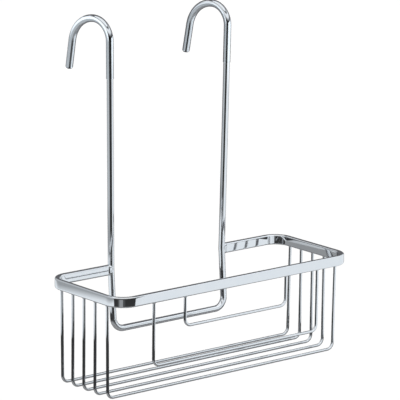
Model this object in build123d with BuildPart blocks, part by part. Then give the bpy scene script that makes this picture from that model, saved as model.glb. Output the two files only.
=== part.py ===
from build123d import *
from math import atan2, cos, radians, sin
import os

# Hook-over shower basket in chrome-plated steel. A bent round rod makes the two hooks,
# the two uprights and a crossbar below the rim. A flat-bar rim is welded to the uprights,
# and thin wires, each bent to a U, hang from the rim and make the basket.
#
# Frame: the origin is on the axis of the bar that the hooks hang from, midway between
# the uprights. +Z is up, -Y is the front of the basket and X runs along its long side.
# All sizes are in millimetres.

# Hanger rod
ROD_DIAMETER = 6.5
HOOK_SPACING = 150.3        # between the uprights, at the height of the bar
HOOK_TURN = 9.0             # degrees that both hooks are turned towards -X
HOOK_RISE_RADIUS = 20.5     # centreline, from the upright to the top of the hook
HOOK_FALL_RADIUS = 30.2     # centreline, wider, from there to the tip leg
HOOK_TIP_ANGLE = 9.3        # the tip leg leans back from the vertical
HOOK_TIP_LENGTH = 28.4      # straight leg of rod past the bend
SPACING_AT_RIM = 143.4      # between the uprights, where the rim is welded on
CROSSBAR_DROP = 55.5        # rim's underside to the crossbar's centreline
CROSSBAR_FORWARD = 5.0      # the crossbar stands in front of the uprights
CROSSBAR_BEND = 12.0
KINK_BEND = 45.0            # slight bend of each upright at the rim

# Clear sleeves over the hooks
SLEEVE_DIAMETER = 7.5
SLEEVE_START = -36.9        # height of the sleeve's open end on the upright
SLEEVE_TIP_WALL = 1.0
SLEEVE_TIP_ROUND = 2.4

# Rim
RIM_LENGTH = 300.0
RIM_DEPTH = 114.0
RIM_HEIGHT = 10.5
RIM_THICKNESS = 5.0
RIM_CORNER = 20.0           # outer face, in plan
RIM_EDGE_ROUND = 1.6
RIM_UNDERSIDE = -234.9      # below the bar's axis

# Wires of the basket
WIRE_DIAMETER = 3.0
WIRE_BEND = 7.0             # centreline
FLOOR_DROP = 93.0           # rim's underside to the centre of the floor wires
FLOOR_PITCH = 17.5
FLOOR_LEG_TOPS = (148.0, 147.5, 147.5, 147.5, 146.7)    # half spans at the rim, rear wire first
FLOOR_LEG_FEET = (146.4, 147.5, 147.5, 147.5, 145.5)    # half spans at the floor

# Front guards: half span, sideways shift, drop of the lower run
GUARDS = {"front_guard_outer": (105.0, 0.0, 63.0), "front_guard_inner": (64.7, -1.4, 29.5)}

# Welds
WIRE_WELD_RADIUS = 2.0
WIRE_WELD_FOOT = 0.2        # how far a wire's weld stands out at its lower edge
WIRE_WELD_HEIGHT = 1.3
WELD_UNDERCUT = 1.0         # how far a wire's weld climbs round the rim's lower edges
ROD_WELD_RADIUS = 1.2
ROD_WELD_INSET = 0.6        # the bead's axis from the rod's outer side
ROD_WELD_HEIGHT = 8.5

# Places that follow from the sizes above
rod_y = -HOOK_RISE_RADIUS * cos(radians(HOOK_TURN))
rim_front = rod_y + RIM_THICKNESS / 2 - RIM_DEPTH
rim_centre_y = rim_front + RIM_DEPTH / 2
rim_middle_z = RIM_UNDERSIDE + RIM_HEIGHT / 2
crossbar_z = RIM_UNDERSIDE - CROSSBAR_DROP
floor_z = RIM_UNDERSIDE - FLOOR_DROP
rod_half_span = SPACING_AT_RIM / 2
splay = atan2(HOOK_SPACING / 2 - rod_half_span, -rim_middle_z)
below_rim = Plane.XY.offset(RIM_UNDERSIDE)


def hook_plane(side):
    """The plane of one hook: the top of its upright, local x back and local y up the rod."""
    seat = (side * HOOK_SPACING / 2, rod_y, 0)
    rise = Vector(side * sin(splay), 0, cos(splay))
    back = Vector(-sin(radians(HOOK_TURN)), cos(radians(HOOK_TURN)), 0)
    across = back.cross(rise)
    return Plane(seat, x_dir=rise.cross(across), z_dir=across)


def hook_bend(side, tip_length):
    """A hook's centreline from the top of the upright, over the bar, to the tip."""
    lean = radians(HOOK_TIP_ANGLE)
    fall_centre = (HOOK_RISE_RADIUS, HOOK_RISE_RADIUS - HOOK_FALL_RADIUS)
    leg_x = fall_centre[0] + HOOK_FALL_RADIUS * cos(lean)
    leg_y = fall_centre[1] + HOOK_FALL_RADIUS * sin(lean)
    with BuildLine(hook_plane(side)) as bend:
        CenterArc((HOOK_RISE_RADIUS, 0), HOOK_RISE_RADIUS, 180, -90)
        CenterArc(fall_centre, HOOK_FALL_RADIUS, 90, HOOK_TIP_ANGLE - 90)
        Line(
            (leg_x, leg_y),
            (leg_x + tip_length * sin(lean), leg_y - tip_length * cos(lean)),
        )
    return bend.line


def round_section(path, diameter):
    """A round section standing across the start of a path."""
    with BuildSketch(Plane(path @ 0, z_dir=path % 0)) as section:
        Circle(diameter / 2)
    return section.sketch


# Hanger frame: one rod, bent from tip to tip.
seat_left, seat_right = (hook_plane(side).origin for side in (-1, 1))

with BuildPart() as hanger_frame:
    with BuildLine() as rod_line:
        add(hook_bend(-1, HOOK_TIP_LENGTH))
        FilletPolyline(
            seat_left,
            (-rod_half_span, rod_y, rim_middle_z),
            (-rod_half_span, rod_y - CROSSBAR_FORWARD, crossbar_z),
            (rod_half_span, rod_y - CROSSBAR_FORWARD, crossbar_z),
            (rod_half_span, rod_y, rim_middle_z),
            seat_right,
            radius=[KINK_BEND, CROSSBAR_BEND, CROSSBAR_BEND, KINK_BEND],
        )
        add(hook_bend(1, HOOK_TIP_LENGTH))
    rod_path = rod_line.wire()
    sweep(sections=round_section(rod_path, ROD_DIAMETER), path=rod_path)

# Hook sleeves: thin clear tubes pushed over the hooks, closed and rounded at the tip.
sleeves = {}
for name, side in (("hook_sleeve_left", -1), ("hook_sleeve_right", 1)):
    with BuildPart() as sleeve:
        with BuildLine() as sleeve_line:
            with BuildLine(hook_plane(side)):
                Line((0, SLEEVE_START), (0, 0))
            add(hook_bend(side, HOOK_TIP_LENGTH + SLEEVE_TIP_WALL))
        sleeve_path = sleeve_line.wire()
        sweep(sections=round_section(sleeve_path, SLEEVE_DIAMETER), path=sleeve_path)
        tip = sleeve.edges().filter_by(GeomType.CIRCLE).sort_by(Axis.Y)[-1]
        fillet(tip, SLEEVE_TIP_ROUND)
        add(hanger_frame.part, mode=Mode.SUBTRACT)
    sleeves[name] = sleeve

# Rim: one flat bar with rounded edges, bent to a C in plan. Its two ends are cut hollow
# to sit against the outer sides of the uprights, and the back is open between them.
with BuildPart() as rim:
    side_x = RIM_LENGTH / 2 - RIM_THICKNESS / 2
    front_y = rim_front + RIM_THICKNESS / 2
    with BuildLine() as rim_line:
        FilletPolyline(
            (-rod_half_span, rod_y, rim_middle_z),
            (-side_x, rod_y, rim_middle_z),
            (-side_x, front_y, rim_middle_z),
            (side_x, front_y, rim_middle_z),
            (side_x, rod_y, rim_middle_z),
            (rod_half_span, rod_y, rim_middle_z),
            radius=RIM_CORNER - RIM_THICKNESS / 2,
        )
    rim_path = rim_line.wire()
    with BuildSketch(Plane(rim_path @ 0, x_dir=(0, 0, 1), z_dir=rim_path % 0)) as rim_section:
        RectangleRounded(RIM_HEIGHT, RIM_THICKNESS, RIM_EDGE_ROUND)
    sweep(sections=rim_section.sketch, path=rim_path)
    add(hanger_frame.part, mode=Mode.SUBTRACT)


def hanging_wire(half_top, half_foot, shift, y, run_z):
    """A wire bent to a U below the rim, with its ends cut off level with the underside."""
    with BuildPart() as wire:
        with BuildLine() as wire_line:
            FilletPolyline(
                (shift - half_top, y, rim_middle_z),
                (shift - half_foot, y, run_z),
                (shift + half_foot, y, run_z),
                (shift + half_top, y, rim_middle_z),
                radius=WIRE_BEND,
            )
        wire_path = wire_line.wire()
        sweep(sections=round_section(wire_path, WIRE_DIAMETER), path=wire_path)
        split(bisect_by=below_rim, keep=Keep.BOTTOM)
    return wire


# Floor wires: each makes a left leg, a run of the floor and a right leg.
floor_wires = {}
floor_tops = []
for row, (half_top, half_foot) in enumerate(zip(FLOOR_LEG_TOPS, FLOOR_LEG_FEET)):
    row_y = rim_centre_y + FLOOR_PITCH * ((len(FLOOR_LEG_TOPS) - 1) / 2 - row)
    floor_wires[f"floor_wire_{row + 1}"] = hanging_wire(half_top, half_foot, 0, row_y, floor_z)
    floor_tops += [(-half_top, row_y, RIM_UNDERSIDE), (half_top, row_y, RIM_UNDERSIDE)]

# Front guards: two more U wires, one inside the other, under the front of the rim.
guards = {}
guard_tops = []
for name, (half_span, shift, drop) in GUARDS.items():
    guards[name] = hanging_wire(half_span, half_span, shift, front_y, RIM_UNDERSIDE - drop)
    guard_tops += [(shift + side * half_span, front_y, RIM_UNDERSIDE) for side in (-1, 1)]


def wire_welds(tops, wires):
    """Small rings of weld where wires meet the underside of the rim."""
    with BuildPart() as welds:
        with Locations(*tops):
            Cone(
                WIRE_DIAMETER / 2 + WIRE_WELD_FOOT,
                WIRE_WELD_RADIUS,
                WIRE_WELD_HEIGHT,
                align=(Align.CENTER, Align.CENTER, Align.MAX),
            )
            Cylinder(
                WIRE_WELD_RADIUS,
                WELD_UNDERCUT,
                align=(Align.CENTER, Align.CENTER, Align.MIN),
            )
        add(rim.part, mode=Mode.SUBTRACT)
        for wire in wires.values():
            add(wire.part, mode=Mode.SUBTRACT)
    return welds


floor_wire_welds = wire_welds(floor_tops, floor_wires)
guard_welds = wire_welds(guard_tops, guards)

# Rim welds: an upright bead in each corner between the flat bar and the rod.
with BuildPart() as rim_welds:
    corner_x = rod_half_span + ROD_DIAMETER / 2 - ROD_WELD_INSET
    with Locations((0, rod_y, rim_middle_z)):
        with GridLocations(2 * corner_x, RIM_THICKNESS, 2, 2):
            Cylinder(ROD_WELD_RADIUS, ROD_WELD_HEIGHT)
    add(hanger_frame.part, mode=Mode.SUBTRACT)
    add(rim.part, mode=Mode.SUBTRACT)

pieces = {
    "hanger_frame": hanger_frame,
    "rim": rim,
    "rim_welds": rim_welds,
    "floor_wire_welds": floor_wire_welds,
    "guard_welds": guard_welds,
    **sleeves,
    **floor_wires,
    **guards,
}
os.makedirs("parts", exist_ok=True)
for name, piece in pieces.items():
    piece.part.label = name
    export_step(piece.part, f"parts/{name}.step")
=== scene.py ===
from math import cos, pi, radians, sin, tan

import bpy
import numpy as np
from mathutils import Matrix, Vector


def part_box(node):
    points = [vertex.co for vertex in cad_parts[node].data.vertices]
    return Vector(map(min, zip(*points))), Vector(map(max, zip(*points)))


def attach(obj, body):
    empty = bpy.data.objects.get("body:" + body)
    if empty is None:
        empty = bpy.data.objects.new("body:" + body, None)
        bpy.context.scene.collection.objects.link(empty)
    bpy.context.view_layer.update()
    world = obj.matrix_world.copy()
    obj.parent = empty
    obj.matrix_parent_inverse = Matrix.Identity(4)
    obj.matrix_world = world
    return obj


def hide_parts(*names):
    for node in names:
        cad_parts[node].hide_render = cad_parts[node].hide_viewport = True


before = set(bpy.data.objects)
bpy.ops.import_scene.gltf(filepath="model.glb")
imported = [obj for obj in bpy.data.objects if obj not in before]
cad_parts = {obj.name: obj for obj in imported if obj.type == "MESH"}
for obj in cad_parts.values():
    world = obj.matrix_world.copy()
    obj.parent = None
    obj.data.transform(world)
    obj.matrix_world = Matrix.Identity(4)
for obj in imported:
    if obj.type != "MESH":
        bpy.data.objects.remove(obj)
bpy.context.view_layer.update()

scene = bpy.context.scene

# ---------------------------------------------------------------------------------------
# Camera. It stands three metres away at the basket's front left, a little above the rim,
# and looks through a long lens, so the rails stay almost parallel.
CAMERA_AIM = Vector((0.0093, -0.0594, -0.1629))
CAMERA_TURN = radians(39.95)
CAMERA_DROP = radians(13.21)
CAMERA_ROLL = radians(0.75)
CAMERA_DISTANCE = 3.109
CAMERA_LENS = 281.8

gaze = Vector((
    sin(CAMERA_TURN) * cos(CAMERA_DROP),
    cos(CAMERA_TURN) * cos(CAMERA_DROP),
    -sin(CAMERA_DROP),
))
level = Vector((cos(CAMERA_TURN), -sin(CAMERA_TURN), 0))
upward = level.cross(gaze)
camera_x = level * cos(CAMERA_ROLL) + upward * sin(CAMERA_ROLL)
camera_y = upward * cos(CAMERA_ROLL) - level * sin(CAMERA_ROLL)
camera = bpy.data.objects.new("camera", bpy.data.cameras.new("camera"))
camera.data.lens = CAMERA_LENS
camera.data.clip_end = 60
camera.matrix_world = (
    Matrix.Translation(CAMERA_AIM - gaze * CAMERA_DISTANCE)
    @ Matrix((camera_x, camera_y, -gaze)).transposed().to_4x4()
)
scene.collection.objects.link(camera)
scene.camera = camera

# ---------------------------------------------------------------------------------------
# Hanger rod: one round steel rod, bent cold from tip to tip and chrome plated. It makes
# both hooks, both uprights and the crossbar, and leans forward from a kink at the rim.
ROD_RADIUS = 0.00325
HOOK_SPACING = 0.1503
HOOK_TURN = radians(9)
HOOK_RISE_RADIUS = 0.0205
HOOK_FALL_RADIUS = 0.0302
HOOK_TIP_LEAN = radians(9.3)
HOOK_TIP_LENGTH = 0.0284
SPACING_AT_RIM = 0.1434
CROSSBAR_FORWARD = 0.005
CROSSBAR_BEND = 0.012
KINK_BEND = 0.045
ROD_TIP_EDGE = 0.0005
ROD_SIDES = 64
BEND_STEP = radians(2.5)
HOOK_CLIMB_POINTS = 37
HOOK_FALL_POINTS = 34
TIP_POINTS = 9
RUN_MARGIN = 0.0003
LEG_MARGIN = 0.001

rim_low, rim_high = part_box("rim")
hanger_low, hanger_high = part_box("hanger_frame")
rim_middle = (rim_low.z + rim_high.z) / 2
rod_y = -HOOK_RISE_RADIUS * cos(HOOK_TURN)
crossbar_z = hanger_low.z + ROD_RADIUS


def bent_path(corners, bends):
    """Points along straight runs joined by tangent arcs.

    Each inner corner is cut off where an arc of its bend radius touches both runs, at the
    radius times the tangent of half the turn. The arc is walked in small equal turns, with
    one more point just outside each of its ends, and one just inside the path's own ends,
    which keeps the shading of the straight runs straight.
    """
    corners = np.array(corners, float)
    runs = np.diff(corners, axis=0)
    runs /= np.linalg.norm(runs, axis=1, keepdims=True)
    parts = [corners[:1], corners[:1] + runs[0] * RUN_MARGIN]
    for corner, run_in, run_out, bend in zip(corners[1:], runs, runs[1:], bends):
        turn = np.arccos(np.clip(run_in @ run_out, -1, 1))
        steps = max(3, int(np.ceil(turn / BEND_STEP)))
        inward = (run_out - run_in * cos(turn)) / sin(turn)
        angle = np.linspace(0, turn, steps + 1)[:, None]
        cut = bend * tan(turn / 2)
        spare = bend * turn / steps
        arc = corner - run_in * cut
        arc = arc + bend * (run_in * np.sin(angle) + inward * (1 - np.cos(angle)))
        parts += [corner - run_in * (cut + spare), arc, corner + run_out * (cut + spare)]
    parts += [corners[-1:] - runs[-1] * RUN_MARGIN, corners[-1:]]
    return np.concatenate([part.reshape(-1, 3) for part in parts])


def path_frames(path, reference):
    """The direction along a path at each point, and two directions across it.

    The first is at right angles to the path and to the reference direction, and the second
    to the path and to the first, so that the three make a right-handed frame.
    """
    along = np.gradient(path, axis=0)
    along[0], along[-1] = path[1] - path[0], path[-1] - path[-2]
    along /= np.linalg.norm(along, axis=1, keepdims=True)
    side = np.cross(along, reference)
    side /= np.linalg.norm(side, axis=1, keepdims=True)
    return along, side, np.cross(along, side)


def round_rings(path, radius, reference, sides):
    """Circles round a path: centre + radius (side cos t + across sin t), t from 0 to 2 pi."""
    _, side, across = path_frames(path, reference)
    turn = np.arange(sides) * 2 * pi / sides
    radius = np.broadcast_to(radius, len(path))[:, None, None]
    return path[:, None] + radius * (
        side[:, None] * np.cos(turn)[:, None] + across[:, None] * np.sin(turn)[:, None]
    )


def ring_mesh(name, rings, material):
    """A smooth closed skin over a grid of rings, with a pole at the middle of each end.

    The first coordinate runs along the piece and the second round it. The UV map holds both
    in metres: the way round the girth, and the way along the rings' centres.
    """
    count, sides = rings.shape[:2]
    index = np.arange(count * sides).reshape(count, sides)
    right = np.roll(index, -1, axis=1)
    quads = np.stack([index[:-1], right[:-1], right[1:], index[1:]], -1).reshape(-1, 4)
    first, last = count * sides, count * sides + 1
    start = np.stack([right[0], index[0], np.full(sides, first)], -1)
    end = np.stack([index[-1], right[-1], np.full(sides, last)], -1)
    vertices = np.concatenate([rings.reshape(-1, 3), rings[:1].mean(1), rings[-1:].mean(1)])
    mesh = bpy.data.meshes.new(name)
    mesh.from_pydata(vertices.tolist(), [], quads.tolist() + start.tolist() + end.tolist())
    mesh.polygons.foreach_set("use_smooth", np.ones(len(mesh.polygons), bool))
    steps = np.linalg.norm(np.diff(rings.mean(1), axis=0), axis=1)
    along = np.concatenate([[0], np.cumsum(steps)])
    girth = np.linalg.norm(np.roll(rings, -1, 1) - rings, axis=2).max(0).sum() / sides
    row, column = np.divmod(np.arange(len(quads)), sides)
    u = (column[:, None] + np.array([0, 1, 1, 0])) * girth
    v = along[row[:, None] + np.array([0, 0, 1, 1])]
    ends = np.zeros((6 * sides, 2))
    uv = np.concatenate([np.stack([u, v], -1).reshape(-1, 2), ends])
    mesh.uv_layers.new(name="girth_and_length").data.foreach_set("uv", uv.ravel())
    mesh.materials.append(material)
    piece = bpy.data.objects.new(name, mesh)
    scene.collection.objects.link(piece)
    return piece


def add_node(tree, kind, **settings):
    """A shader node, with its inputs or its own settings given by name."""
    node = tree.nodes.new(kind)
    for key, value in settings.items():
        if key in node.inputs:
            node.inputs[key].default_value = value
        else:
            setattr(node, key, value)
    return node


def chrome_plate(name, buffing, unevenness):
    """Bright nickel-chrome plate over polished steel.

    The plate is almost a mirror. Its gloss wanders a little where a film of polish is
    left, hair-thin buffing marks run along the stock, and the steel under it is not quite
    even. buffing and unevenness are the depths of those two, in metres.
    """
    material = bpy.data.materials.new(name)
    material.use_nodes = True
    tree = material.node_tree
    shader = tree.nodes["Principled BSDF"]
    shader.inputs["Metallic"].default_value = 1.0
    place = add_node(tree, "ShaderNodeTexCoord")
    film = add_node(tree, "ShaderNodeTexNoise", Scale=140.0, Detail=5.0, Roughness=0.6)
    tree.links.new(place.outputs["Object"], film.inputs["Vector"])
    tint = add_node(tree, "ShaderNodeValToRGB")
    tint.color_ramp.elements[0].position = 0.3
    tint.color_ramp.elements[0].color = (0.775, 0.795, 0.820, 1)
    tint.color_ramp.elements[1].position = 0.7
    tint.color_ramp.elements[1].color = (0.805, 0.815, 0.830, 1)
    tree.links.new(film.outputs["Fac"], tint.inputs["Fac"])
    tree.links.new(tint.outputs["Color"], shader.inputs["Base Color"])
    gloss = add_node(tree, "ShaderNodeMapRange")
    for socket, value in zip(("From Min", "From Max", "To Min", "To Max"), (0.35, 0.7, 0.03, 0.07)):
        gloss.inputs[socket].default_value = value
    tree.links.new(film.outputs["Fac"], gloss.inputs["Value"])
    tree.links.new(gloss.outputs["Result"], shader.inputs["Roughness"])
    surface = add_node(tree, "ShaderNodeUVMap", uv_map="girth_and_length")
    stretch = add_node(tree, "ShaderNodeMapping", Scale=(7000, 90, 1))
    tree.links.new(surface.outputs["UV"], stretch.inputs["Vector"])
    hairs = add_node(tree, "ShaderNodeTexNoise", Scale=1.0, Detail=2.0)
    tree.links.new(stretch.outputs["Vector"], hairs.inputs["Vector"])
    swell = add_node(tree, "ShaderNodeTexNoise", Scale=38.0, Detail=1.0)
    tree.links.new(place.outputs["Object"], swell.inputs["Vector"])
    fine = add_node(tree, "ShaderNodeBump", Strength=1.0, Distance=buffing)
    tree.links.new(hairs.outputs["Fac"], fine.inputs["Height"])
    broad = add_node(tree, "ShaderNodeBump", Strength=1.0, Distance=unevenness)
    tree.links.new(swell.outputs["Fac"], broad.inputs["Height"])
    tree.links.new(fine.outputs["Normal"], broad.inputs["Normal"])
    tree.links.new(broad.outputs["Normal"], shader.inputs["Normal"])
    return material


splay = np.arctan2((HOOK_SPACING - SPACING_AT_RIM) / 2, -rim_middle)


def hook_line(side, tip_length):
    """One hook's middle line from the top of its upright, over the bar, to its tip.

    It climbs from the seat on seat + rise radius (back (1 + cos t) + rise sin t), with t
    from a half turn to a quarter, and comes down on an arc of the wider fall radius, with
    t from there to the tip's lean. The tip leg goes straight on.
    """
    seat = np.array([side * HOOK_SPACING / 2, rod_y, 0])
    rise = np.array([side * sin(splay), 0, cos(splay)])
    back = np.array([-sin(HOOK_TURN), cos(HOOK_TURN), 0])
    back = back - rise * (back @ rise)
    back /= np.linalg.norm(back)
    t = np.linspace(pi, pi / 2, HOOK_CLIMB_POINTS)[:, None]
    climb = seat + HOOK_RISE_RADIUS * (back * (1 + np.cos(t)) + rise * np.sin(t))
    t = np.linspace(pi / 2, HOOK_TIP_LEAN, HOOK_FALL_POINTS)[1:, None]
    crown = seat + (back + rise) * HOOK_RISE_RADIUS
    fall = crown + HOOK_FALL_RADIUS * (back * np.cos(t) + rise * (np.sin(t) - 1))
    down = back * sin(HOOK_TIP_LEAN) - rise * cos(HOOK_TIP_LEAN)
    leg = fall[-1] + down * np.array([[LEG_MARGIN], [tip_length]])
    return np.concatenate([climb, fall, leg])


def rounded_tip(path, radius, edge):
    """The path and radii with its far end's edge rounded to a quarter circle.

    The last rings stand at edge (1 - sin t) from the end, with radius less edge (1 - cos t).
    One more ring just before them keeps the run up to them straight.
    """
    t = np.linspace(0, pi / 2, TIP_POINTS)[:, None]
    outward = path[-1] - path[-2]
    outward /= np.linalg.norm(outward)
    tip = path[-1] - outward * edge * (1 - np.sin(t))
    radii = np.concatenate([np.full(len(path), radius), radius - edge * (1 - np.cos(t[:, 0]))])
    return np.concatenate([path[:-1], tip[:1] - outward * RUN_MARGIN, tip]), radii


rod_reference = np.array([0.62, 0.48, 0.62])  # a direction that the rod's line never takes
half_at_rim = SPACING_AT_RIM / 2
left_hook, right_hook = hook_line(-1, HOOK_TIP_LENGTH), hook_line(1, HOOK_TIP_LENGTH)
frame_run = bent_path(
    [
        left_hook[0],
        (-half_at_rim, rod_y, rim_middle),
        (-half_at_rim, rod_y - CROSSBAR_FORWARD, crossbar_z),
        (half_at_rim, rod_y - CROSSBAR_FORWARD, crossbar_z),
        (half_at_rim, rod_y, rim_middle),
        right_hook[0],
    ],
    [KINK_BEND, CROSSBAR_BEND, CROSSBAR_BEND, KINK_BEND],
)
rod_line = np.concatenate([left_hook[:0:-1], frame_run, right_hook[1:]])
rod_line, rod_radii = rounded_tip(rod_line, ROD_RADIUS, ROD_TIP_EDGE)
rod_line, first_radii = rounded_tip(rod_line[::-1], ROD_RADIUS, ROD_TIP_EDGE)
rod_radii = np.pad(rod_radii[::-1], (0, TIP_POINTS), constant_values=ROD_RADIUS)
rod_radii = np.minimum(first_radii, rod_radii)
rod_chrome = chrome_plate("rod_chrome", buffing=0.0000004, unevenness=0.00001)
hanger_rod = ring_mesh(
    "hanger_rod", round_rings(rod_line, rod_radii, rod_reference, ROD_SIDES), rod_chrome
)
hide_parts("hanger_frame")
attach(hanger_rod, "root")

# ---------------------------------------------------------------------------------------
# Rim: a flat bar with rolled edges, bent on edge to a C in plan and chrome plated. Its
# ends are cut hollow and sit against the outer sides of the two uprights.
RIM_THICKNESS = 0.005
RIM_CORNER = 0.020
RIM_EDGE = 0.0016
RIM_CROWN = 0.00005
RIM_SIDE_POINTS = 15
RIM_EDGE_POINTS = 11
COPE_OVERLAP = 0.0001


def flat_bar_section(thickness, height, edge, crown):
    """A rolled flat bar's outline, as (across the thickness, up the height) points.

    Each broad side bulges by the crown: x = half thickness - crown (z / half side)^2. An
    arc of the edge radius takes it round to the narrow side, which is flat.
    """
    lean = 2 * crown / (height / 2 - edge)
    side_end = height / 2 - edge + edge * sin(lean)
    z = np.linspace(-side_end, side_end, RIM_SIDE_POINTS)
    broad = np.stack([thickness / 2 - crown * (z / side_end) ** 2, z], -1)
    t = np.linspace(lean, pi / 2, RIM_EDGE_POINTS)[1:]
    arc_x = thickness / 2 - crown - edge * cos(lean)
    corner = np.stack([arc_x + edge * np.cos(t), height / 2 - edge + edge * np.sin(t)], -1)
    half = np.concatenate([broad, corner, corner[::-1] * (-1, 1)])
    return np.concatenate([half, -half])


rim_height = rim_high.z - rim_low.z
side_x = rim_high.x - RIM_THICKNESS / 2
front_y = rim_low.y + RIM_THICKNESS / 2
rim_section = flat_bar_section(RIM_THICKNESS, rim_height, RIM_EDGE, RIM_CROWN)
rim_line = bent_path(
    [
        (-half_at_rim, rod_y, rim_middle),
        (-side_x, rod_y, rim_middle),
        (-side_x, front_y, rim_middle),
        (side_x, front_y, rim_middle),
        (side_x, rod_y, rim_middle),
        (half_at_rim, rod_y, rim_middle),
    ],
    [RIM_CORNER - RIM_THICKNESS / 2] * 4,
)
_, outward, downward = path_frames(rim_line, np.array([0, 0, 1.0]))
rim_rings = (
    rim_line[:, None]
    + rim_section[:, :1] * outward[:, None]
    + rim_section[:, 1:] * downward[:, None]
)
cope = np.sqrt(ROD_RADIUS**2 - rim_section[:, 0] ** 2) - COPE_OVERLAP
rim_rings[0, :, 0] = -half_at_rim - cope
rim_rings[1, :, 0] = -half_at_rim - cope - RUN_MARGIN
rim_rings[-2, :, 0] = half_at_rim + cope + RUN_MARGIN
rim_rings[-1, :, 0] = half_at_rim + cope
rim_chrome = chrome_plate("rim_chrome", buffing=0.0000004, unevenness=0.00003)
rim_bar = ring_mesh("rim_bar", rim_rings, rim_chrome)
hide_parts("rim")
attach(rim_bar, "root")

# ---------------------------------------------------------------------------------------
# Rim welds: on the front and back of each joint a bead fills the step from the bar to the
# rod. It is dressed almost flat before plating, so it shows as a smooth pad.
BEAD_REACH = 0.0052
BEAD_OVERHANG = 0.0004
BEAD_RINGS = 25
BEAD_CLOSE = 0.995
BEAD_RIPPLE = 0.012
BEAD_RIPPLE_PITCH = 19
bead_reach = np.array([0.0002, 0.0012, 0.0024, 0.0034, 0.0041, 0.0046, 0.0049, BEAD_REACH])
bead_depth = np.array([0.00328, 0.00331, 0.00329, 0.00322, 0.00308, 0.00284, 0.00260, 0.00236])
bead_inner = np.array([[0.0046, 0.0012], [0.0024, 0.0009], [0.0004, 0.0014]])
bead_outline = np.concatenate([np.stack([bead_reach, bead_depth], -1), bead_inner])


def weld_pad(side, face):
    """One bead as rings of its plan outline, stacked from the bar's underside to its top.

    A ring at height h is the outline drawn towards its inner edge by the square root of
    1 - h^4, where h runs from -1 to 1, so the pad rounds over at the top and bottom. A
    cosine of h ripples it a little, as the weld pool left it.
    """
    h = np.sin(np.linspace(-pi / 2, pi / 2, BEAD_RINGS)) * BEAD_CLOSE
    ripple = 1 + BEAD_RIPPLE * np.cos(h * BEAD_RIPPLE_PITCH)
    swell = ((1 - h**4) ** 0.5 * ripple)[:, None]
    core = bead_outline[-2]
    outline = core + (bead_outline - core) * swell[..., None]
    rings = np.empty((len(h), len(bead_outline), 3))
    rings[..., 0] = side * (half_at_rim + outline[..., 0])
    rings[..., 1] = rod_y + face * outline[..., 1]
    rings[..., 2] = rim_middle + h[:, None] * (rim_height / 2 + BEAD_OVERHANG)
    return rings if side * face < 0 else rings[:, ::-1]


def joined(name, pieces, node):
    """One piece made of several separate skins, standing for one CAD node."""
    with bpy.context.temp_override(active_object=pieces[0], selected_editable_objects=pieces):
        bpy.ops.object.join()
    pieces[0].name = name
    pieces[0].data.name = name
    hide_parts(node)
    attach(pieces[0], "root")


weld_chrome = chrome_plate("weld_chrome", buffing=0.0000002, unevenness=0.00006)
joined(
    "rim_weld_pads",
    [
        ring_mesh("pad", weld_pad(side, face), weld_chrome)
        for side in (-1, 1)
        for face in (-1, 1)
    ],
    "rim_welds",
)

# ---------------------------------------------------------------------------------------
# Floor wires: five thin wires, each bent to a wide U. Their legs hang from the rim's ends
# and their long runs make the floor of the basket.
WIRE_RADIUS = 0.0015
WIRE_BEND = 0.007
WIRE_SIDES = 40
WIRE_ROOT = 0.0004
FLOOR_LEG_TOPS = (0.1480, 0.1475, 0.1475, 0.1475, 0.1467)
FLOOR_LEG_FEET = (0.1464, 0.1475, 0.1475, 0.1475, 0.1455)
wire_reference = np.array([0, 1.0, 0])
wire_chrome = chrome_plate("wire_chrome", buffing=0.0000003, unevenness=0.000006)


def hanging_wire(name, node, half_top, half_foot, shift, y, run_z):
    """A round wire along a U: down from the rim's underside, across at run_z, and up.

    Its legs aim at the middle of the rim's height, and end just inside the underside.
    """
    share = (rim_low.z + WIRE_ROOT - run_z) / (rim_middle - run_z)
    half_cut = half_foot + (half_top - half_foot) * share
    line = bent_path(
        [
            (shift - half_cut, y, rim_low.z + WIRE_ROOT),
            (shift - half_foot, y, run_z),
            (shift + half_foot, y, run_z),
            (shift + half_cut, y, rim_low.z + WIRE_ROOT),
        ],
        [WIRE_BEND, WIRE_BEND],
    )
    wire = ring_mesh(name, round_rings(line, WIRE_RADIUS, wire_reference, WIRE_SIDES), wire_chrome)
    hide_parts(node)
    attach(wire, "root")
    return [(shift - half_cut, y), (shift + half_cut, y)]


floor_wire_tops = []
for number, (half_top, half_foot) in enumerate(zip(FLOOR_LEG_TOPS, FLOOR_LEG_FEET), 1):
    node = f"floor_wire_{number}"
    low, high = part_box(node)
    row_y = (low.y + high.y) / 2
    floor_wire_tops += hanging_wire(
        f"basket_wire_{number}", node, half_top, half_foot, 0, row_y, low.z + WIRE_RADIUS
    )

# ---------------------------------------------------------------------------------------
# Front guards: two more wires of the same stock, a narrow U inside a wide one, hang from
# the front rail and keep bottles from tipping out.
guard_tops = []
for name, node in (
    ("guard_wire_outer", "front_guard_outer"),
    ("guard_wire_inner", "front_guard_inner"),
):
    low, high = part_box(node)
    half_span = (high.x - low.x) / 2 - WIRE_RADIUS
    shift = (high.x + low.x) / 2
    guard_tops += hanging_wire(
        name, node, half_span, half_span, shift, front_y, low.z + WIRE_RADIUS
    )

# ---------------------------------------------------------------------------------------
# Wire welds: where a wire meets the rim's underside, a small hollow-cornered ring of weld
# flares out from the wire and climbs round the bar's rolled lower edges.
WELD_FLARE = 0.00042
WELD_HEIGHT = 0.0014
WELD_RINGS = 9
WELD_SIDES = 28
WELD_BITE = 0.00003
WELD_ROOF_BITE = 0.0001


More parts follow.
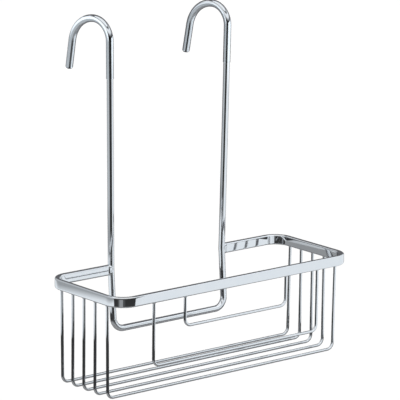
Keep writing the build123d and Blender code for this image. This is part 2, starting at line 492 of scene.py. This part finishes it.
def weld_ring(x, y, along_x, phase):
    """A hollow fillet round a wire's top, as rings of radius and height.

    The radius is the wire's plus the flare times the cube of the way up, and the flare
    varies round the wire by two sines. The height ends on the rim: its underside, raised
    by the edge's arc beyond the flat.
    """
    up = np.linspace(0, 1, WELD_RINGS)[:, None]
    turn = np.arange(WELD_SIDES) * 2 * pi / WELD_SIDES
    flare = WELD_FLARE * (1 + 0.14 * np.sin(2 * turn + phase) + 0.08 * np.sin(5 * turn + phase))
    radius = WIRE_RADIUS - WELD_BITE + flare * up**3
    off_x, off_y = radius * np.cos(turn), radius * np.sin(turn)
    across = off_y if along_x else off_x
    beyond = np.clip(np.abs(across) - (RIM_THICKNESS / 2 - RIM_EDGE), 0, RIM_EDGE * 0.98)
    roof = rim_low.z + RIM_EDGE - np.sqrt(RIM_EDGE**2 - beyond**2) + WELD_ROOF_BITE
    height = rim_low.z - WELD_HEIGHT + up * (roof - rim_low.z + WELD_HEIGHT)
    return np.stack([x + off_x, y + off_y, height], -1)


for name, node, tops, along_x in (
    ("floor_wire_fillets", "floor_wire_welds", floor_wire_tops, False),
    ("guard_wire_fillets", "guard_welds", guard_tops, True),
):
    joined(
        name,
        [
            ring_mesh("fillet", weld_ring(x, y, along_x, 1.7 * number), weld_chrome)
            for number, (x, y) in enumerate(tops)
        ],
        node,
    )

# ---------------------------------------------------------------------------------------
# Hook sleeves: thin tubes of clear soft plastic, pushed tight over both hooks so that they
# do not mark the bar. Each is closed and rounded at the tip and cut square at the upright.
# The bore is a hair smaller than the rod, so that no film of air shows between them.
SLEEVE_RADIUS = 0.00375
SLEEVE_BORE = 0.00323
SLEEVE_BELOW = 0.0369
SLEEVE_TIP_WALL = 0.001
SLEEVE_TIP_EDGE = 0.0024
SLEEVE_CUT_EDGE = 0.00012
SLEEVE_CUT_POINTS = 5
SLEEVE_BORE_SHORT = 0.0001


def clear_plastic(name):
    """Clear soft plastic, smooth outside, with a faint haze and a few tiny ripples."""
    material = bpy.data.materials.new(name)
    material.use_nodes = True
    tree = material.node_tree
    shader = tree.nodes["Principled BSDF"]
    shader.inputs["Transmission Weight"].default_value = 1.0
    shader.inputs["IOR"].default_value = 1.52
    place = add_node(tree, "ShaderNodeTexCoord")
    cloud = add_node(tree, "ShaderNodeTexNoise", Scale=220.0, Detail=4.0)
    tree.links.new(place.outputs["Object"], cloud.inputs["Vector"])
    tint = add_node(tree, "ShaderNodeValToRGB")
    tint.color_ramp.elements[0].color = (0.93, 0.96, 0.98, 1)
    tint.color_ramp.elements[1].color = (0.97, 0.985, 1.0, 1)
    tree.links.new(cloud.outputs["Fac"], tint.inputs["Fac"])
    tree.links.new(tint.outputs["Color"], shader.inputs["Base Color"])
    haze = add_node(tree, "ShaderNodeMapRange")
    for socket, value in (("From Min", 0.3), ("From Max", 0.7), ("To Min", 0.01), ("To Max", 0.05)):
        haze.inputs[socket].default_value = value
    tree.links.new(cloud.outputs["Fac"], haze.inputs["Value"])
    tree.links.new(haze.outputs["Result"], shader.inputs["Roughness"])
    ripple = add_node(tree, "ShaderNodeTexNoise", Scale=90.0, Detail=1.0)
    tree.links.new(place.outputs["Object"], ripple.inputs["Vector"])
    bump = add_node(tree, "ShaderNodeBump", Strength=1.0, Distance=0.00002)
    tree.links.new(ripple.outputs["Fac"], bump.inputs["Height"])
    tree.links.new(bump.outputs["Normal"], shader.inputs["Normal"])
    return material


sleeve_plastic = clear_plastic("sleeve_plastic")
for name, node, side in (
    ("clear_sleeve_left", "hook_sleeve_left", -1),
    ("clear_sleeve_right", "hook_sleeve_right", 1),
):
    rise = np.array([side * sin(splay), 0, cos(splay)])
    over = hook_line(side, HOOK_TIP_LENGTH + SLEEVE_TIP_WALL)
    cut = over[0] - rise * SLEEVE_BELOW
    t = np.linspace(0, pi / 2, SLEEVE_CUT_POINTS)[:, None]
    lip = cut + rise * SLEEVE_CUT_EDGE * (1 - np.sin(t[::-1]))
    below_bend = over[:1] - rise * LEG_MARGIN
    skin = np.concatenate([lip, lip[-1:] + rise * RUN_MARGIN, below_bend, over])
    skin, skin_radii = rounded_tip(skin, SLEEVE_RADIUS, SLEEVE_TIP_EDGE)
    skin_radii[:SLEEVE_CUT_POINTS] -= SLEEVE_CUT_EDGE * (1 - np.cos(t[::-1, 0]))
    bore = hook_line(side, HOOK_TIP_LENGTH - SLEEVE_BORE_SHORT)
    bore = np.concatenate([lip, below_bend, bore])
    wall = np.concatenate([
        round_rings(bore, SLEEVE_BORE, rod_reference, ROD_SIDES)[::-1],
        round_rings(skin, skin_radii, rod_reference, ROD_SIDES),
    ])
    sleeve = ring_mesh(name, wall, sleeve_plastic)
    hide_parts(node)
    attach(sleeve, "root")

# ---------------------------------------------------------------------------------------
# Studio: a pale floor well below the hanging caddy, a white surround, and pale cards near
# the caddy that only its chrome mirrors, with dark gaps between them.
FLOOR_Z = -2.0
FLOOR_HALF = 25.0
CARD_STEPS = 129
CARD_WHITE = (0.90, 0.95, 0.99)
CARD_GREY = (0.33, 0.34, 0.35)


def card(name, corners, light, fade=None):
    """A flat sheet between four corners that the chrome mirrors and the camera does not see.

    A point is the mean of the corners weighted by s and t, which run from 0 to 1 along the
    first two sides. light is its colour, and fade multiplies it at each s and t.
    """
    corners = np.array(corners, float)
    s, t = np.meshgrid(*[np.linspace(0, 1, CARD_STEPS)] * 2, indexing="ij")
    s, t = s[..., None], t[..., None]
    sheet = (
        corners[0] * (1 - s) * (1 - t)
        + corners[1] * s * (1 - t)
        + corners[2] * s * t
        + corners[3] * (1 - s) * t
    )
    index = np.arange(CARD_STEPS**2).reshape(CARD_STEPS, CARD_STEPS)
    quads = np.stack([index[:-1, :-1], index[1:, :-1], index[1:, 1:], index[:-1, 1:]], -1)
    mesh = bpy.data.meshes.new(name)
    mesh.from_pydata(sheet.reshape(-1, 3).tolist(), [], quads.reshape(-1, 4).tolist())
    glow = np.ones(index.shape) if fade is None else fade(s[..., 0], t[..., 0])
    mesh.attributes.new("glow", "FLOAT", "POINT").data.foreach_set("value", glow.ravel())
    material = bpy.data.materials.new(name)
    material.use_nodes = True
    tree = material.node_tree
    tree.nodes.clear()
    shine = add_node(tree, "ShaderNodeAttribute", attribute_name="glow")
    lamp = add_node(tree, "ShaderNodeEmission", Color=(*light, 1))
    tree.links.new(shine.outputs["Fac"], lamp.inputs["Strength"])
    sheet_out = add_node(tree, "ShaderNodeOutputMaterial")
    tree.links.new(lamp.outputs["Emission"], sheet_out.inputs["Surface"])
    mesh.materials.append(material)
    piece = bpy.data.objects.new(name, mesh)
    scene.collection.objects.link(piece)
    piece.visible_camera = False
    piece.visible_diffuse = False
    piece.visible_shadow = False


floor_mesh = bpy.data.meshes.new("floor")
floor_mesh.from_pydata(
    [(x * FLOOR_HALF, y * FLOOR_HALF, FLOOR_Z) for x, y in ((-1, -1), (1, -1), (1, 1), (-1, 1))],
    [],
    [(0, 1, 2, 3)],
)
floor_paint = bpy.data.materials.new("floor_paint")
floor_paint.use_nodes = True
paint = floor_paint.node_tree.nodes["Principled BSDF"]
paint.inputs["Base Color"].default_value = (0.9, 0.9, 0.9, 1)
paint.inputs["Roughness"].default_value = 0.9
floor_mesh.materials.append(floor_paint)
floor = bpy.data.objects.new("floor", floor_mesh)
floor.visible_glossy = False
floor.visible_transmission = False
scene.collection.objects.link(floor)

studio_centre = np.array([0, -0.0747, -0.0109])
across_axis = np.array([0.767, -0.642, 0])
away_axis = np.array([0.642, 0.767, 0])


def spot(u, w, z):
    """A place in the studio: u across to the right, w away from the viewer, z up."""
    return studio_centre + across_axis * u + away_axis * w + np.array([0, 0, z])


card(
    "card_right",
    [
        spot(0.143, -0.175, -0.328),
        spot(0.230, 0.250, -0.328),
        spot(0.230, 0.250, 0.04),
        spot(0.149, -0.145, 0.04),
    ],
    CARD_WHITE,
    lambda s, t: np.interp(t, [0, 0.65, 0.75, 1], [1, 1, 1.4, 1.4]),
)
card(
    "card_left",
    [
        spot(-0.220, -0.270, -0.295),
        spot(-0.220, 0.200, -0.295),
        spot(-0.220, 0.200, 0.10),
        spot(-0.220, -0.215, 0.10),
    ],
    CARD_WHITE,
    lambda s, t: np.interp(s, [0, 0.6, 0.75, 1], [1, 1, 0.8, 0.5])
    * np.interp(
        t - 0.1 * (s - 0.36),
        [0, 0.097, 0.132, 0.18, 0.27, 0.70, 0.76, 1],
        [1, 1, 0.42, 0.42, 0.6, 0.6, 1.5, 1.5],
    ),
)
card(
    "card_back_left",
    [
        spot(-0.220, 0.060, -0.370),
        spot(-0.220, 0.230, -0.370),
        spot(-0.220, 0.230, -0.295),
        spot(-0.220, 0.060, -0.295),
    ],
    CARD_GREY,
)
card(
    "card_front",
    [
        spot(-0.112, -0.2, -0.262),
        spot(-0.050, -0.2, -0.262),
        spot(-0.050, -0.2, -0.230),
        spot(-0.112, -0.2, -0.230),
    ],
    CARD_GREY,
    lambda s, t: np.interp(
        s, [0, 0.12, 0.25, 0.31, 0.69, 0.73, 1], [0.1, 0.27, 0.5, 1, 1, 0.24, 0.24]
    ),
)

# The surround is plain white to the eye. What the chrome mirrors is darker and banded by
# height: dark at eye level, white above it and overhead, and grey on the far side.
surround = bpy.data.worlds.new("surround")
scene.world = surround
surround.use_nodes = True
tree = surround.node_tree
backdrop = tree.nodes["Background"]
backdrop.inputs["Color"].default_value = (1, 1, 1, 1)
backdrop.inputs["Strength"].default_value = 1.15
sky = add_node(tree, "ShaderNodeTexCoord")
split = add_node(tree, "ShaderNodeSeparateXYZ")
tree.links.new(sky.outputs["Generated"], split.inputs["Vector"])
height = add_node(tree, "ShaderNodeMapRange")
height.inputs["From Min"].default_value = -1.0
tree.links.new(split.outputs["Z"], height.inputs["Value"])
bands = add_node(tree, "ShaderNodeValToRGB")
ramp = bands.color_ramp
for place, grey in (
    (0.20, 0.35), (0.30, 0.05), (0.56, 0.01), (0.61, 0.10), (0.66, 0.45), (0.72, 1.0),
    (0.82, 1.0), (0.86, 0.12), (0.895, 0.12), (0.915, 1.15), (1.0, 1.1),
):
    stop = ramp.elements.new(place)
    stop.color = (grey, grey * 1.02, grey * 1.04, 1)
ramp.elements[0].color = (0.3, 0.3, 0.3, 1)
tree.links.new(height.outputs["Result"], bands.inputs["Fac"])
behind = add_node(tree, "ShaderNodeVectorMath", operation="DOT_PRODUCT")
tree.links.new(sky.outputs["Generated"], behind.inputs[0])
behind.inputs[1].default_value = away_axis
far_side = add_node(tree, "ShaderNodeMapRange")
far_side.inputs["From Min"].default_value = 0.35
far_side.inputs["From Max"].default_value = 0.65
tree.links.new(behind.outputs["Value"], far_side.inputs["Value"])
seen_in_chrome = add_node(tree, "ShaderNodeMix", data_type="RGBA")
tree.links.new(far_side.outputs["Result"], seen_in_chrome.inputs["Factor"])
tree.links.new(bands.outputs["Color"], seen_in_chrome.inputs[6])
seen_in_chrome.inputs[7].default_value = (0.14, 0.14, 0.15, 1)
dim = add_node(tree, "ShaderNodeBackground", Strength=1.0)
tree.links.new(seen_in_chrome.outputs[2], dim.inputs["Color"])
path = add_node(tree, "ShaderNodeLightPath")
mirrored = add_node(tree, "ShaderNodeMath", operation="GREATER_THAN")
tree.links.new(path.outputs["Glossy Depth"], mirrored.inputs[0])
either = add_node(tree, "ShaderNodeMixShader")
tree.links.new(mirrored.outputs["Value"], either.inputs["Fac"])
tree.links.new(backdrop.outputs["Background"], either.inputs[1])
tree.links.new(dim.outputs["Background"], either.inputs[2])
tree.links.new(either.outputs["Shader"], tree.nodes["World Output"].inputs["Surface"])
scene.view_settings.view_transform = "Standard"
